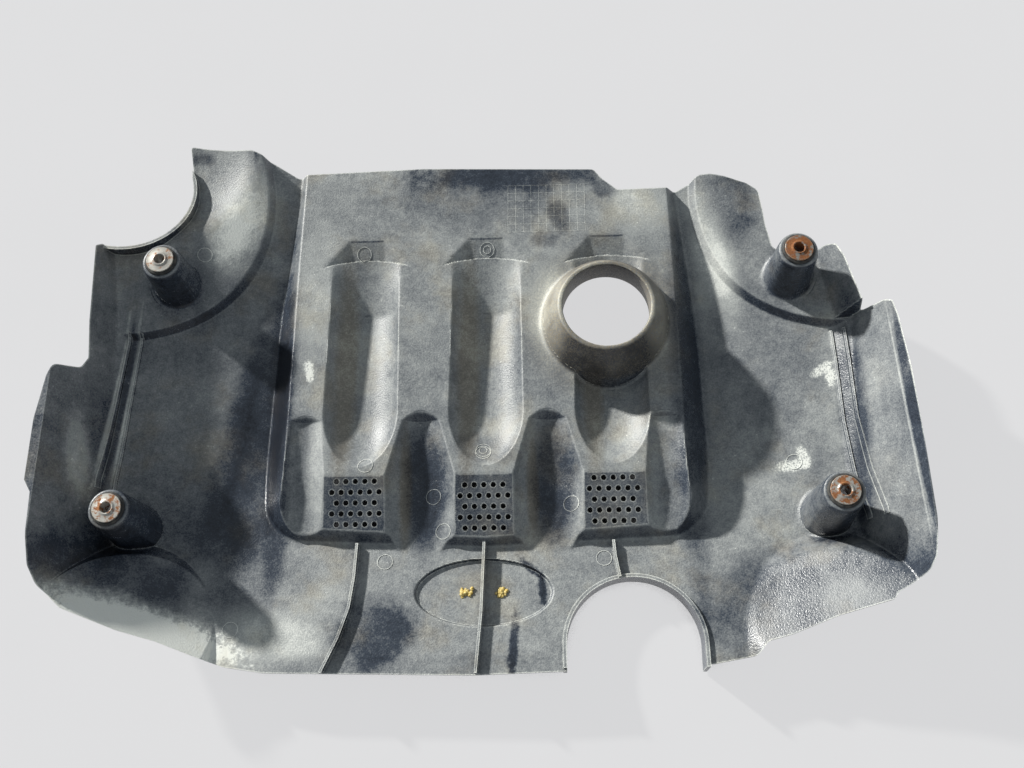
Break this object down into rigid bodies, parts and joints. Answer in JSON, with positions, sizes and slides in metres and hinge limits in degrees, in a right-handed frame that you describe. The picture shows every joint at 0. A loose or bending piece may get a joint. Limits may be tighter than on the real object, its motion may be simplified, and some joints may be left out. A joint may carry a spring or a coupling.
{
  "type": "engine top cover",
  "caption": "Moulded plastic engine top cover shown from its underside, with a filler collar, air channels, perforated grilles, ribs and sleeved bolt bosses.",
  "frame": {"origin": "centre of the bounding box's bottom face, on the surface that the cover's outer face lies on", "axes": "+X along the length, towards the filler collar's side; +Y towards the edge with the two horns; +Z out of the open underside, so the fitted cover is the other way up"},
  "size_m": [0.694, 0.4709, 0.094],
  "materials": {
    "cover": "fine grained black moulding, dusty and weathered to grey",
    "sleeve": "zinc plated steel with rust stains",
    "grommet": "matt black rubber",
    "stake": "yellowed, rough blobs"
  },
  "bodies": {
    "root": {"cover": "cover", "sleeve_rear_left": "sleeve", "sleeve_rear_right": "sleeve", "sleeve_front_left": "sleeve", "sleeve_front_right": "sleeve", "grommet_rear_left": "grommet", "grommet_rear_right": "grommet", "grommet_front_left": "grommet", "grommet_front_right": "grommet", "stake_left": "stake", "stake_right": "stake"}
  },
  "joints": []
}
